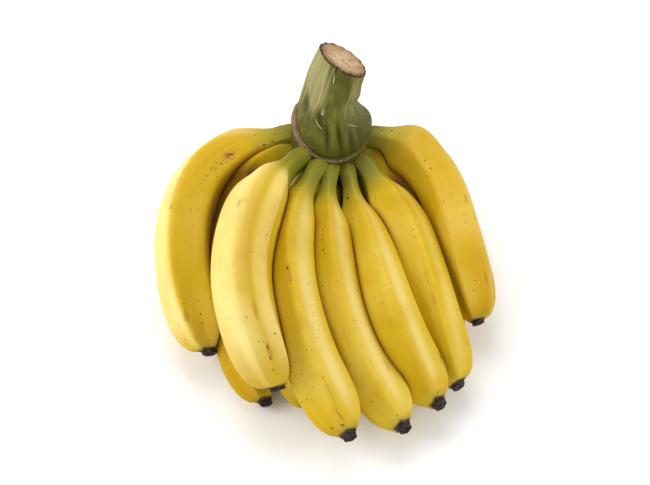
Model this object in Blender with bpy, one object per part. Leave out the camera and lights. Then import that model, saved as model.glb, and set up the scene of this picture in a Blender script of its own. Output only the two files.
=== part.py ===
"""A hand of bananas on its cut stalk, in metres, +Z up.

The hand lies on a table with its hollow side down. The origin is the centre of the
stalk's trimmed foot, on the table. The fingers spread towards -Y, and the stalk's cut
end rises towards +Y. Each finger is lofted along its own centre line, because its
section changes from a flat pedicel to a rounded pentagon and then to a round knob.
"""

import math

import bmesh
import bpy
import numpy as np

MM = 0.001
COLLECTION = "banana_hand"
CUTTERS = "cutters"

# Gap between neighbouring solids
GAP = 0.3 * MM

# Rings and sides of the lofts
FINGER_SIDES = 15
STALK_SIDES = 28
CAP_DOME = 0.8 * MM

# Each finger's centre line in millimetres, from the crown to the blossom end, as root,
# neck, shoulder, belly, taper and tip, then its girth radius, how much narrower than
# round it is where its neighbours press on it, the angles of its five ridges in degrees,
# how much sooner than the others its shoulder widens, as a share of its length, and how
# much thicker than theirs its pedicel is
FINGERS = {
    "finger_outer_1": (
        [(-13, 9, 54), (-39, 3, 52), (-70, -19, 54), (-89, -77, 50), (-80, -128, 32), (-71, -149, 22)],
        18.0, 0.95, (44, 114, 186, 258, 330), 0.06, 1.0),
    "finger_outer_2": (
        [(-9, -10, 59), (-22, -36, 72), (-40, -87, 96), (-47, -134, 90), (-34, -176, 65), (-25, -192, 49)],
        19.2, 0.96, (26, 98, 154, 232, 306), -0.03, 1.0),
    "finger_outer_3": (
        [(1, -17, 61), (-7, -43, 64), (-18, -79, 72), (-17, -136, 67), (7, -194, 40), (20, -217, 33)],
        18.4, 0.90, (38, 112, 180, 250, 324), 0.0, 1.0),
    "finger_outer_4": (
        [(8, -15, 55), (6, -38, 55), (5, -82, 59), (14, -137, 51), (42, -188, 29), (55, -207, 26)],
        18.0, 0.90, (30, 102, 172, 246, 318), 0.0, 1.05),
    "finger_outer_5": (
        [(18, -11, 53), (21, -32, 46), (30, -79, 48), (48, -140, 48), (69, -176, 27), (78, -189, 25)],
        18.0, 0.90, (10, 82, 154, 224, 298), 0.01, 1.0),
    "finger_outer_6": (
        [(27, -4, 52), (35, -20, 44), (52, -54, 42), (71, -119, 38), (83, -154, 24), (91, -171, 17)],
        17.6, 0.90, (68, 140, 212, 286, 356), 0.03, 1.15),
    "finger_outer_7": (
        [(34, 10, 53), (50, 8, 46), (75, -11, 40), (93, -70, 45), (103, -112, 32), (105, -127, 24)],
        15.9, 0.94, (14, 84, 158, 230, 302), 0.15, 1.1),
    "finger_inner_1": (
        [(-12, 6, 43), (-27, -4, 47), (-46, -35, 51), (-56, -87, 41), (-46, -154, 15), (-34, -178, 7)],
        15.8, 0.93, (48, 120, 192, 264, 336), 0.04, 1.1),
    "finger_inner_2": (
        [(-2, 4, 40), (-11, -15, 34), (-24, -51, 33), (-25, -112, 30), (-14, -161, 14), (-3, -181, 6)],
        15.0, 0.90, (41, 113, 185, 257, 329), 0.03, 1.0),
    "finger_inner_3": (
        [(7, 6, 38), (6, -9, 28), (7, -46, 22), (10, -102, 17), (24, -146, 12), (34, -167, 9)],
        15.3, 0.90, (54, 126, 198, 270, 342), 0.1, 1.15),
    "finger_inner_4": (
        [(18, 6, 38), (22, -9, 28), (35, -47, 18), (46, -103, 14), (55, -141, 12), (63, -158, 10)],
        14.2, 0.90, (45, 117, 189, 261, 333), 0.09, 1.1),
    "finger_inner_5": (
        [(24, 12, 41), (35, 6, 36), (54, -17, 24), (75, -70, 15), (82, -111, 12), (82, -139, 7)],
        14.5, 0.92, (58, 130, 202, 274, 346), 0.08, 1.1),
}

# Fingers that a neighbour presses into: the first loses what the second takes
PRESSED_BY = {
    "finger_outer_3": ["finger_outer_2"],
    "finger_outer_4": ["finger_outer_3"],
    "finger_outer_5": ["finger_outer_4"],
    "finger_outer_6": ["finger_outer_5"],
    "finger_inner_1": ["finger_outer_1"],
    "finger_inner_2": ["finger_inner_1"],
    "finger_inner_3": ["finger_outer_4"],
    "finger_inner_4": ["finger_inner_3", "finger_outer_5", "finger_outer_6"],
    "finger_inner_5": ["finger_outer_6", "finger_outer_7"],
}

# A finger's half-width as a share of its girth radius, against the share of its length
GIRTH_AT = [0.00, 0.08, 0.14, 0.20, 0.27, 0.36, 0.50, 0.65, 0.78, 0.87, 0.93, 0.955, 0.975, 0.986, 1.00]
GIRTH = [0.40, 0.36, 0.39, 0.54, 0.79, 0.95, 1.00, 1.00, 0.985, 0.925, 0.82, 0.71, 0.57, 0.42, 0.37]

# Makes lead * x * (1 - x) ** 3 reach lead itself at its highest, at a quarter of the length
LEAD_PEAK = 256.0 / 27.0

# Where along its length a finger's rings stand
RINGS_AT = [0.00, 0.05, 0.10, 0.14, 0.18, 0.22, 0.26, 0.31, 0.37, 0.44, 0.52, 0.60,
            0.68, 0.75, 0.81, 0.87, 0.915, 0.945, 0.970, 0.986, 1.00]

# A pedicel is narrower sideways than it is deep
PEDICEL_WIDTH = 0.80
PEDICEL_DEPTH = 1.25
PEDICEL_ENDS = (0.12, 0.30)
STEM_ENDS = (0.14, 0.30)

# The section's five faces: the power that rounds the ridges between them
RIDGE_POWER = 6.0
DOME_CENTRE = (10 * MM, -75 * MM, -45 * MM)

# The stalk, in millimetres: its axis points, the girth up its axis, and its cut end
STALK_AXIS = [(0, 0, 0), (3, 1, 26), (7.5, 6, 56), (7, 17, 79), (16.5, 33, 103)]
STALK_AT = [0.00, 0.015, 0.12, 0.26, 0.36, 0.45, 0.54, 0.63, 0.72, 0.82, 0.92, 1.00]
STALK_RADIUS = [15.5, 17.0, 18.0, 20.0, 23.5, 27.0, 27.8, 25.6, 22.0, 20.0, 19.3, 18.8]
CUT_NORMAL = (0.50, 0.32, 0.81)

# Where the stalk's sections turn from level, at the foot, to square to its axis
FOOT_ENDS = (0.04, 0.35)

YELLOW = (0.88, 0.62, 0.08)
DEEP_YELLOW = (0.80, 0.52, 0.06)
GREEN = (0.38, 0.42, 0.10)


def remove_everything():
    for thing in list(bpy.data.objects):
        bpy.data.objects.remove(thing, do_unlink=True)


def add_collection(name):
    collection = bpy.data.collections.new(name)
    bpy.context.scene.collection.children.link(collection)
    return collection


def skin(name, colour, roughness):
    """A Principled material of one colour."""
    material = bpy.data.materials.new(name)
    material.use_nodes = True
    shader = material.node_tree.nodes["Principled BSDF"]
    shader.inputs["Base Color"].default_value = (*colour, 1.0)
    shader.inputs["Roughness"].default_value = roughness
    shader.inputs["Metallic"].default_value = 0.0
    return material


def spline(knots, values, at):
    """The natural cubic spline through values at knots, read at each number in at."""
    knots = np.asarray(knots, float)
    values = np.asarray(values, float)
    step = np.diff(knots)
    count = len(knots)
    system = np.eye(count)
    right = np.zeros(values.shape)
    slope = (np.diff(values, axis=0).T / step).T
    for row in range(1, count - 1):
        system[row, row - 1] = step[row - 1]
        system[row, row] = 2.0 * (step[row - 1] + step[row])
        system[row, row + 1] = step[row]
        right[row] = 6.0 * (slope[row] - slope[row - 1])
    bend = np.linalg.solve(system, right)
    at = np.asarray(at, float)
    span = np.clip(np.searchsorted(knots, at, side="right") - 1, 0, count - 2)
    ahead = ((at - knots[span]) / step[span]).reshape((-1,) + (1,) * (values.ndim - 1))
    back = 1.0 - ahead
    size = (step[span] ** 2 / 6.0).reshape(ahead.shape)
    curve = back * values[span] + ahead * values[span + 1]
    return curve + size * ((back ** 3 - back) * bend[span] + (ahead ** 3 - ahead) * bend[span + 1])


def centre_line(points, shares):
    """Points and unit tangents along the spline through points, at shares of its length."""
    points = np.asarray(points, float) * MM
    knots = np.concatenate(([0.0], np.cumsum(np.linalg.norm(np.diff(points, axis=0), axis=1))))
    fine = np.linspace(0.0, knots[-1], 400)
    path = spline(knots, points, fine)
    run = np.concatenate(([0.0], np.cumsum(np.linalg.norm(np.diff(path, axis=0), axis=1))))
    at = np.interp(np.asarray(shares) * run[-1], run, fine)
    small = knots[-1] * 1e-3
    ahead = spline(knots, points, np.minimum(at + small, knots[-1]))
    behind = spline(knots, points, np.maximum(at - small, 0.0))
    tangent = ahead - behind
    return spline(knots, points, at), tangent / np.linalg.norm(tangent, axis=1)[:, None]


def unit(vectors):
    return vectors / np.linalg.norm(vectors, axis=-1, keepdims=True)


def step_between(low, high, at):
    """A smooth step from 0 at low to 1 at high."""
    share = np.clip((at - low) / (high - low), 0.0, 1.0)
    return share * share * (3.0 - 2.0 * share)


def ridged(angle, ridges, amount):
    """Radius of a rounded pentagon of mean radius 1, eased towards a circle by amount.

    A face lies midway between two ridges, nearer the middle the further apart they are.
    """
    ridges = np.radians(ridges)
    gaps = np.diff(np.append(ridges, ridges[0] + 2.0 * math.pi))
    facing = np.clip(np.cos(angle[..., None] - ridges - gaps / 2.0), 0.0, None) / np.cos(gaps / 2.0)
    pentagon = (facing ** RIDGE_POWER).sum(axis=-1) ** (-1.0 / RIDGE_POWER)
    return 1.0 + amount * (pentagon / pentagon.mean() - 1.0)


def finger_surface(finger, shares, sides, extra=0.0):
    """Rings of a finger, extra wider all round, as an array of shares by sides by 3.

    The section is across (radius * width * cos(angle)) and out (radius * depth *
    sin(angle)), where out points away from the middle of the hand's hollow side.
    """
    points, radius, narrow, ridges, lead, stem = finger
    shares = np.asarray(shares, float)
    line, tangent = centre_line(points, shares)
    out = line - np.asarray(DOME_CENTRE)
    out = unit(out - (out * tangent).sum(axis=1)[:, None] * tangent)
    across = np.cross(tangent, out)
    sooner = shares + lead * LEAD_PEAK * shares * (1.0 - shares) ** 3
    thicker = 1.0 + (stem - 1.0) * (1.0 - step_between(*STEM_ENDS, shares))
    girth = spline(GIRTH_AT, GIRTH, sooner) * thicker * radius * MM + extra
    body = step_between(*PEDICEL_ENDS, shares)
    end = step_between(0.72, 0.985, shares)
    width = PEDICEL_WIDTH + (narrow - PEDICEL_WIDTH) * body
    width = width + (1.0 - width) * end
    depth = PEDICEL_DEPTH + (2.0 - narrow - PEDICEL_DEPTH) * body
    depth = depth + (1.0 - depth) * end
    angle = np.linspace(0.0, 2.0 * math.pi, sides, endpoint=False)
    amount = (body * (1.0 - end))[:, None]
    shape = ridged(angle[None, :], ridges, amount)
    sideways = (shape * np.cos(angle)) * (girth * width)[:, None]
    outward = (shape * np.sin(angle)) * (girth * depth)[:, None]
    return line[:, None, :] + sideways[..., None] * across[:, None, :] + outward[..., None] * out[:, None, :]


def stalk_surface(shares, sides, extra):
    """Rings of the stalk and its crown, extra wider all round."""
    shares = np.asarray(shares, float)
    line, tangent = centre_line(STALK_AXIS, shares)
    upright = np.array([0.0, 0.0, 1.0])
    tangent = unit(upright + step_between(*FOOT_ENDS, shares)[:, None] * (tangent - upright))
    right = np.array([1.0, 0.0, 0.0])
    right = unit(right - (tangent @ right)[:, None] * tangent)
    front = np.cross(right, tangent)
    radius = spline(STALK_AT, STALK_RADIUS, shares) * MM + extra
    angle = np.linspace(0.0, 2.0 * math.pi, sides, endpoint=False)
    ring = np.cos(angle)[None, :, None] * right[:, None, :] - np.sin(angle)[None, :, None] * front[:, None, :]
    rings = line[:, None, :] + radius[:, None, None] * ring
    normal = unit(np.array(CUT_NORMAL))
    cut = rings[-1]
    lift = ((line[-1] - cut) @ normal) / (tangent[-1] @ normal)
    rings[-1] = cut + lift[:, None] * tangent[-1]
    return rings


def loft(name, rings, dome=0.0):
    """A closed solid through the rings, with a cap of triangles at each end."""
    shape = bmesh.new()
    count, sides = rings.shape[:2]
    corners = [[shape.verts.new(corner) for corner in ring] for ring in rings.tolist()]
    for low, high in zip(corners, corners[1:]):
        for side in range(sides):
            following = (side + 1) % sides
            shape.faces.new((low[side], low[following], high[following], high[side]))
    shape.faces.new(corners[0][::-1])
    if dome:
        middle = rings[-1].mean(axis=0)
        ahead = unit(middle - rings[-2].mean(axis=0))
        peak = shape.verts.new((middle + dome * ahead).tolist())
        for side in range(sides):
            shape.faces.new((corners[-1][side], corners[-1][(side + 1) % sides], peak))
    else:
        shape.faces.new(corners[-1])
    bmesh.ops.recalc_face_normals(shape, faces=shape.faces)
    # The same diagonals in a solid and in its wider cutter keep the gap between them
    bmesh.ops.triangulate(shape, faces=shape.faces, quad_method="FIXED")
    mesh = bpy.data.meshes.new(name)
    shape.to_mesh(mesh)
    shape.free()
    mesh.shade_smooth()
    mesh.set_sharp_from_angle(angle=math.radians(50))
    return bpy.data.objects.new(name, mesh)


def add_part(collection, thing, material):
    thing.data.materials.append(material)
    collection.objects.link(thing)
    return thing


def add_cutter(collection, thing):
    thing.hide_render = True
    thing.display_type = "WIRE"
    collection.objects.link(thing)
    return thing


def cut(thing, cutter):
    """Take the cutter's volume away from a part."""
    change = thing.modifiers.new("cut_" + cutter.name, "BOOLEAN")
    change.operation = "DIFFERENCE"
    change.solver = "EXACT"
    change.object = cutter


def table_block():
    """A block under the table's top, which trims what a finger's weight flattens."""
    shape = bmesh.new()
    bmesh.ops.create_cube(shape, size=1.0)
    bmesh.ops.scale(shape, vec=(0.6, 0.6, 0.1), verts=shape.verts)
    bmesh.ops.translate(shape, vec=(0.0, -0.1, -0.05), verts=shape.verts)
    mesh = bpy.data.meshes.new("table_block")
    shape.to_mesh(mesh)
    shape.free()
    return bpy.data.objects.new("table_block", mesh)


def build():
    remove_everything()
    parts = add_collection(COLLECTION)
    cutters = add_collection(CUTTERS)
    crown = add_cutter(cutters, loft("crown_cutter", stalk_surface(STALK_AT, STALK_SIDES, 1.3 * GAP)))
    table = add_cutter(cutters, table_block())
    add_part(parts, loft("stalk", stalk_surface(STALK_AT, STALK_SIDES, 0.0)), skin("stalk", GREEN, 0.6))
    pressing = {}
    for name in sorted({name for names in PRESSED_BY.values() for name in names}):
        wider = finger_surface(FINGERS[name], RINGS_AT, FINGER_SIDES, GAP)
        pressing[name] = add_cutter(cutters, loft(name + "_cutter", wider, CAP_DOME + GAP))
    for name, finger in FINGERS.items():
        rings = finger_surface(finger, RINGS_AT, FINGER_SIDES)
        colour = YELLOW if "outer" in name else DEEP_YELLOW
        thing = add_part(parts, loft(name, rings, CAP_DOME), skin(name, colour, 0.45))
        cut(thing, crown)
        for neighbour in PRESSED_BY.get(name, ()):
            cut(thing, pressing[neighbour])
        if rings[..., 2].min() < 0.0:
            cut(thing, table)


build()
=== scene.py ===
"""A hand of bananas on its cut stalk: the finished peel, crown and stalk, and the stage.

Every banana is a surface over two parameters, the share of its length and the angle round
it. The row of numbers for each banana repeats the part's own, in millimetres.
"""

import math

import bpy
import numpy as np
from bpy.props import FloatProperty, FloatVectorProperty, PointerProperty
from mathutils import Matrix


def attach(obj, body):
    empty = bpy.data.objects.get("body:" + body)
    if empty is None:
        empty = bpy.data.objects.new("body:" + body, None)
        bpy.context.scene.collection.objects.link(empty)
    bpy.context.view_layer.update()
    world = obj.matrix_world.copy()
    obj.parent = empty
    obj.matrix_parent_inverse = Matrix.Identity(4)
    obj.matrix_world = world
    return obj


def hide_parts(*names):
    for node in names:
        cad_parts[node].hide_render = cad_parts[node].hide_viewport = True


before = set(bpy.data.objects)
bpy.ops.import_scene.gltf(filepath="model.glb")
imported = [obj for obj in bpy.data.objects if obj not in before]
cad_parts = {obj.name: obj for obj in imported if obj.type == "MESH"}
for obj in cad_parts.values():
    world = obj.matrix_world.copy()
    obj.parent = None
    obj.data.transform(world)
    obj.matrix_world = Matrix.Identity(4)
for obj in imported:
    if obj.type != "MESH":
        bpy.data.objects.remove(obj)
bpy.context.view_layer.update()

bl_info = {
    "name": "Banana Hand",
    "version": (1, 0, 0),
    "blender": (4, 5, 0),
    "location": "View3D > Sidebar > Bananas",
    "description": "Dresses a hand of bananas with its peel, crown and cut stalk",
    "category": "Add Mesh",
}

MM = 0.001
TURN = 2.0 * math.pi

# Points round a banana and round the stalk
SIDES = 112
STALK_SIDES = 288

# Each banana's centre line in millimetres, as root, neck, shoulder, belly, taper and tip, its
# girth radius, its narrowness, the angles of its ridges in degrees, how much sooner it
# thickens, and how thick its pedicel is
FINGERS = {
    "finger_outer_1": (
        [(-13, 9, 54), (-39, 3, 52), (-70, -19, 54), (-89, -77, 50), (-80, -128, 32), (-71, -149, 22)],
        18.0, 0.95, (44, 114, 186, 258, 330), 0.06, 1.0),
    "finger_outer_2": (
        [(-9, -10, 59), (-22, -36, 72), (-40, -87, 96), (-47, -134, 90), (-34, -176, 65), (-25, -192, 49)],
        19.2, 0.96, (26, 98, 154, 232, 306), -0.03, 1.0),
    "finger_outer_3": (
        [(1, -17, 61), (-7, -43, 64), (-18, -79, 72), (-17, -136, 67), (7, -194, 40), (20, -217, 33)],
        18.4, 0.90, (38, 112, 180, 250, 324), 0.0, 1.0),
    "finger_outer_4": (
        [(8, -15, 55), (6, -38, 55), (5, -82, 59), (14, -137, 51), (42, -188, 29), (55, -207, 26)],
        18.0, 0.90, (30, 102, 172, 246, 318), 0.0, 1.05),
    "finger_outer_5": (
        [(18, -11, 53), (21, -32, 46), (30, -79, 48), (48, -140, 48), (69, -176, 27), (78, -189, 25)],
        18.0, 0.90, (10, 82, 154, 224, 298), 0.01, 1.0),
    "finger_outer_6": (
        [(27, -4, 52), (35, -20, 44), (52, -54, 42), (71, -119, 38), (83, -154, 24), (91, -171, 17)],
        17.6, 0.90, (68, 140, 212, 286, 356), 0.03, 1.15),
    "finger_outer_7": (
        [(34, 10, 53), (50, 8, 46), (75, -11, 40), (93, -70, 45), (103, -112, 32), (105, -127, 24)],
        15.9, 0.94, (14, 84, 158, 230, 302), 0.15, 1.1),
    "finger_inner_1": (
        [(-12, 6, 43), (-27, -4, 47), (-46, -35, 51), (-56, -87, 41), (-46, -154, 15), (-34, -178, 7)],
        15.8, 0.93, (48, 120, 192, 264, 336), 0.04, 1.1),
    "finger_inner_2": (
        [(-2, 4, 40), (-11, -15, 34), (-24, -51, 33), (-25, -112, 30), (-14, -161, 14), (-3, -181, 6)],
        15.0, 0.90, (41, 113, 185, 257, 329), 0.03, 1.0),
    "finger_inner_3": (
        [(7, 6, 38), (6, -9, 28), (7, -46, 22), (10, -102, 17), (24, -146, 12), (34, -167, 9)],
        15.3, 0.90, (54, 126, 198, 270, 342), 0.1, 1.15),
    "finger_inner_4": (
        [(18, 6, 38), (22, -9, 28), (35, -47, 18), (46, -103, 14), (55, -141, 12), (63, -158, 10)],
        14.2, 0.90, (45, 117, 189, 261, 333), 0.09, 1.1),
    "finger_inner_5": (
        [(24, 12, 41), (35, 6, 36), (54, -17, 24), (75, -70, 15), (82, -111, 12), (82, -139, 7)],
        14.5, 0.92, (58, 130, 202, 274, 346), 0.08, 1.1),
}

# Bananas that a neighbour presses into: the first gives way to the others
PRESSED_BY = {
    "finger_outer_3": ["finger_outer_2"],
    "finger_outer_4": ["finger_outer_3"],
    "finger_outer_5": ["finger_outer_4"],
    "finger_outer_6": ["finger_outer_5"],
    "finger_inner_1": ["finger_outer_1"],
    "finger_inner_2": ["finger_inner_1"],
    "finger_inner_3": ["finger_outer_4"],
    "finger_inner_4": ["finger_inner_3", "finger_outer_5", "finger_outer_6"],
    "finger_inner_5": ["finger_outer_6", "finger_outer_7"],
}

# How far a peel that gives way stays off its neighbour, how far from a centre line a skin can
# lie, how far along it a point may stand off its nearest section, and the reach of the painted
# shade in the crevices where two peels lie close, away from the skin and along it
PRESS_GAP = 0.35 * MM
SKIN_REACH = 32.0 * MM
SECTION_REACH = 2.0 * MM
SHADE_REACH = 4.0 * MM
SHADE_FADE = 5.0 * MM

# Half-width as a share of the girth radius, against the share of the length
GIRTH_AT = [0.00, 0.08, 0.14, 0.20, 0.27, 0.36, 0.50, 0.65, 0.78, 0.87, 0.93, 0.955, 0.975, 0.988]
GIRTH = [0.40, 0.36, 0.39, 0.54, 0.79, 0.95, 1.00, 1.00, 0.985, 0.915, 0.770, 0.640, 0.450, 0.262]

# One over the greatest value of x (1 - x)^3, by which a banana thickens sooner
LEAD_PEAK = 256.0 / 27.0

# The powers of the five-sided section at the middle and at the ends, and the number of
# powers and angles over which its mean is tabled
SHARPNESS = (13.0, 24.0)
MEAN_POWERS = 15
MEAN_ANGLES = 72

# The blossom end past the peel: a waist, a six-sided knob, its rim and the pit inside it
KNOB_AT = [
    0.9885, 0.9892, 0.990, 0.9915, 0.993, 0.995, 0.997, 0.9985, 0.9993, 0.9993, 0.9985, 0.997,
    0.995, 0.994, 0.994]
KNOB = [
    0.256, 0.250, 0.246, 0.245, 0.248, 0.250, 0.249, 0.240, 0.224, 0.198, 0.170, 0.14, 0.11, 0.07,
    0.03]
KNOB_SIDES = 6
KNOB_POWER = 12.0
KNOB_MEAN = 1.035
KNOB_LEAN = -0.32

# The pedicel's section as shares of the girth radius, and where it turns into the body's
PEDICEL_WIDTH = 0.80
PEDICEL_DEPTH = 1.25
PEDICEL_ENDS = (0.12, 0.30)

# The bananas curve round this point, and their roots run towards the heart of the crown
DOME_CENTRE = (10 * MM, -75 * MM, -45 * MM)
CROWN_HEART = (7 * MM, 8 * MM, 46 * MM)

# Furrows along a banana: the angle and half-width in degrees and where it runs, and the depth
FURROWS = {
    "finger_outer_2": [((128, 12, 0.10, 0.96), 0.045)],
    "finger_outer_3": [((132, 9, 0.10, 0.5), 0.02)],
}

# The stalk's axis and radius in millimetres from the foot to the cut, the way the cut
# faces, the shares of the length over which the foot turns from upright, and the length
STALK_AXIS = [(0, 0, 0), (3, 1, 26), (7.5, 6, 56), (7, 17, 79), (16.5, 33, 103)]
STALK_AT = [0.00, 0.015, 0.12, 0.26, 0.36, 0.45, 0.54, 0.63, 0.72, 0.82, 0.92, 1.00]
STALK_RADIUS = [15.5, 17.0, 18.0, 20.0, 23.5, 27.0, 27.8, 25.6, 22.0, 20.0, 19.3, 18.8]
CUT_NORMAL = (0.50, 0.32, 0.81)
FOOT_ENDS = (0.04, 0.35)
STALK_LENGTH = 112.0

# Where the green of each pedicel has turned yellow, as a share of the length
GREEN_ENDS = {
    "finger_outer_1": 0.13, "finger_outer_2": 0.27, "finger_outer_3": 0.24, "finger_outer_4": 0.22,
    "finger_outer_5": 0.20, "finger_outer_6": 0.18, "finger_outer_7": 0.10, "finger_inner_1": 0.08,
    "finger_inner_5": 0.05,
}

# Painted shade: how much darker, and a little warmer, the peel of some bananas is where less
# light reaches them, in red, green and blue
PAINTED_SHADE = {
    "finger_outer_1": (1.0, 0.985, 0.95),
    "finger_outer_7": (0.90, 0.835, 0.7),
    "finger_inner_1": (0.85, 0.82, 0.8),
    "finger_inner_2": (0.85, 0.82, 0.8),
    "finger_inner_3": (0.70, 0.66, 0.6),
    "finger_inner_4": (0.70, 0.66, 0.6),
    "finger_inner_5": (0.92, 0.86, 0.7),
}

# How the root of each pedicel meets the crown: its drop in millimetres and how much it flattens
ROOTS = {
    "finger_outer_1": (-3.5, 0.0),
    "finger_outer_2": (1.2, 0.3),
    "finger_outer_3": (2.2, 0.35),
    "finger_outer_4": (1.5, 0.3),
    "finger_outer_5": (1.2, 0.3),
    "finger_outer_6": (0.8, 0.25),
    "finger_outer_7": (-2.0, 0.0),
}

# Sides of the peel with a painted highlight, paler and creamier where the lights fall: angle
# and half-width in degrees, strength, how sharp the edge is, and how many degrees further
# round the side lies at the shoulder
PAINTED_HIGHLIGHT_SIDES = {
    "finger_outer_1": [(74, 37, 0.9, 8, 25)],
    "finger_outer_2": [(68, 45, 0.85, 4, 0), (149, 18, 0.65, 8, 0)],
    "finger_outer_3": [(146, 19, 0.75, 3, 0)],
    "finger_outer_4": [(132, 19, 0.85, 3, 0)],
    "finger_outer_5": [(112, 18, 0.65, 3, 0)],
    "finger_outer_6": [(104, 16, 0.4, 3, 0)],
    "finger_outer_7": [(90, 14, 0.30, 3, 0)],
}

# Marks on the peel: the kind, share, angle in degrees, half-length and half-width in
# millimetres, and strength
MARKS = {
    "finger_outer_1": [
        ("spot", 0.279, 168, 1.3, 1.0, 0.85), ("spot", 0.290, 163, 1.6, 0.9, 0.85),
        ("spot", 0.299, 168, 1.0, 0.8, 0.7), ("smudge", 0.290, 166, 6.5, 3.8, 0.55),
        ("stipple", 0.300, 166, 8.0, 5.0, 1.0), ("stipple", 0.350, 165, 11.0, 4.0, 0.9),
        ("stipple", 0.42, 157, 6.0, 2.5, 0.8), ("spot", 0.132, 184, 1.0, 0.9, 0.9),
        ("spot", 0.098, 180, 1.8, 0.5, 0.7), ("spot", 0.064, 112, 1.6, 0.6, 0.8),
        ("spot", 0.085, 150, 1.0, 0.5, 0.7), ("spot", 0.553, 112, 1.6, 0.5, 0.75),
        ("spot", 0.553, 80, 0.8, 0.5, 0.5), ("spot", 0.836, 153, 0.7, 0.5, 0.8),
        ("spot", 0.836, 121, 0.6, 0.5, 0.7), ("spot", 0.880, 150, 0.9, 0.6, 0.8),
        ("spot", 0.906, 147, 0.8, 0.6, 0.8), ("smudge", 0.875, 120, 6.0, 2.5, 0.6)],
    "finger_outer_2": [
        ("smudge", 0.474, 86, 5.0, 2.4, 0.65), ("stipple", 0.474, 86, 6.0, 3.0, 0.6),
        ("smudge", 0.870, 124, 7.0, 1.6, 0.9), ("spot", 0.862, 125, 1.8, 0.7, 0.7),
        ("spot", 0.888, 122, 1.6, 0.7, 0.7), ("smudge", 0.760, 126, 9.0, 2.0, 0.6),
        ("spot", 0.921, 118, 1.0, 0.6, 0.8), ("spot", 0.160, 120, 1.1, 0.6, 0.8),
        ("spot", 0.186, 126, 0.7, 0.6, 0.7), ("spot", 0.60, 128, 0.6, 0.5, 0.6),
        ("smudge", 0.40, 70, 3.0, 1.6, 0.45)],
    "finger_outer_3": [
        ("spot", 0.505, 107, 1.2, 0.8, 0.9), ("smudge", 0.520, 108, 8.0, 1.2, 0.8),
        ("spot", 0.538, 109, 0.9, 0.5, 0.6), ("spot", 0.225, 112, 0.8, 0.7, 0.8),
        ("spot", 0.955, 60, 1.0, 0.7, 0.8), ("spot", 0.965, 104, 1.4, 1.0, 0.8),
        ("smudge", 0.86, 111, 16.0, 0.7, 0.55), ("spot", 0.30, 80, 0.5, 0.5, 0.6),
        ("smudge", 0.940, 108, 7.0, 1.2, 0.6)],
    "finger_outer_4": [
        ("spot", 0.347, 84, 0.7, 0.5, 0.9), ("spot", 0.365, 83, 0.5, 0.4, 0.8),
        ("spot", 0.381, 81, 0.8, 0.5, 0.9), ("spot", 0.398, 81, 0.5, 0.4, 0.7),
        ("spot", 0.416, 81, 1.1, 0.6, 0.9), ("spot", 0.103, 74, 0.9, 0.6, 0.8),
        ("spot", 0.88, 62, 0.7, 0.5, 0.8), ("smudge", 0.80, 150, 6.0, 1.0, 0.7),
        ("spot", 0.52, 100, 0.5, 0.4, 0.6)],
    "finger_outer_5": [
        ("spot", 0.171, 40, 1.5, 0.9, 0.85), ("smudge", 0.171, 42, 3.0, 2.0, 0.5),
        ("smudge", 0.880, 150, 8.0, 1.6, 1.0), ("spot", 0.862, 152, 1.4, 0.7, 0.7),
        ("spot", 0.970, 104, 1.4, 0.8, 0.85), ("spot", 0.36, 90, 0.5, 0.4, 0.6),
        ("smudge", 0.33, 100, 2.5, 1.5, 0.4)],
    "finger_outer_6": [
        ("spot", 0.45, 60, 0.6, 0.5, 0.7), ("spot", 0.30, 75, 0.5, 0.5, 0.6),
        ("smudge", 0.70, 60, 6.0, 1.2, 0.5)],
    "finger_outer_7": [
        ("spot", 0.078, 54, 0.8, 0.6, 0.8), ("spot", 0.293, 22, 0.9, 0.6, 0.8),
        ("spot", 0.352, 22, 1.1, 0.7, 0.8), ("spot", 0.377, 6, 0.7, 0.5, 0.7),
        ("spot", 0.846, 45, 0.8, 0.5, 0.8), ("spot", 0.880, 36, 0.8, 0.6, 0.8),
        ("smudge", 0.845, 74, 5.0, 1.2, 0.9), ("smudge", 0.548, 74, 5.0, 1.1, 0.9),
        ("spot", 0.62, 30, 0.5, 0.5, 0.6)],
}

# Colours of the small features of the peel
LIME = (0.39, 0.33, 0.022)
OLIVE = (0.36, 0.28, 0.018)
# The cream of the painted highlights on the sides that face the lights
PAINTED_HIGHLIGHT_CREAM = (0.84, 0.68, 0.27)
RUBBED = (0.40, 0.24, 0.05)
CREASE = (0.52, 0.34, 0.025)
# Painted shade in the crevices between bananas
PAINTED_CREVICE_SHADE = (0.26, 0.095, 0.004)
# Painted shadow on the back row
PAINTED_BACK_ROW_SHADOW = (0.065, 0.018, 0.002)
BRUISE = (0.36, 0.17, 0.025)
SCUFF = (0.36, 0.20, 0.03)
SPECK = (0.080, 0.032, 0.008)
DRY_RIM = (0.12, 0.075, 0.03)
CRUST = (0.15, 0.115, 0.085)

# Colours of the small features of the crown, the stalk and its cut face
MOSS = (0.225, 0.235, 0.030)
LIGHT_FLANK = (0.225, 0.205, 0.065)
DARK_STREAK = (0.110, 0.100, 0.020)
FINE_STREAK = (0.095, 0.085, 0.022)
# The stalk's pale left side: partly its own colour, partly painted light from the left
PALE_AND_LIT_LEFT_SIDE = (0.35, 0.33, 0.155)
GREY_PATCH = (0.150, 0.130, 0.070)
# Painted shade in the dents of the crown
PAINTED_DENT_SHADE = (0.034, 0.033, 0.006)
STALK_SPECK = (0.05, 0.035, 0.014)
SCAR_EDGE = (0.060, 0.040, 0.022)
SCAR_PIT = (0.13, 0.075, 0.045)
FIBRE = (0.34, 0.19, 0.075)
DRY_PITH = (0.68, 0.53, 0.35)
CORE = (0.30, 0.18, 0.09)
RAY = (0.22, 0.12, 0.045)
CUT_BROWN = (0.20, 0.105, 0.040)
CUT_RIM = (0.060, 0.034, 0.018)
SAP_LIGHT = (0.85, 0.80, 0.60)
SAP_DARK = (0.60, 0.53, 0.33)


def colour_setting(name, description, default):
    return FloatVectorProperty(
        name=name, description=description, subtype="COLOR", size=3, min=0.0, max=1.0, default=default)


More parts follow.
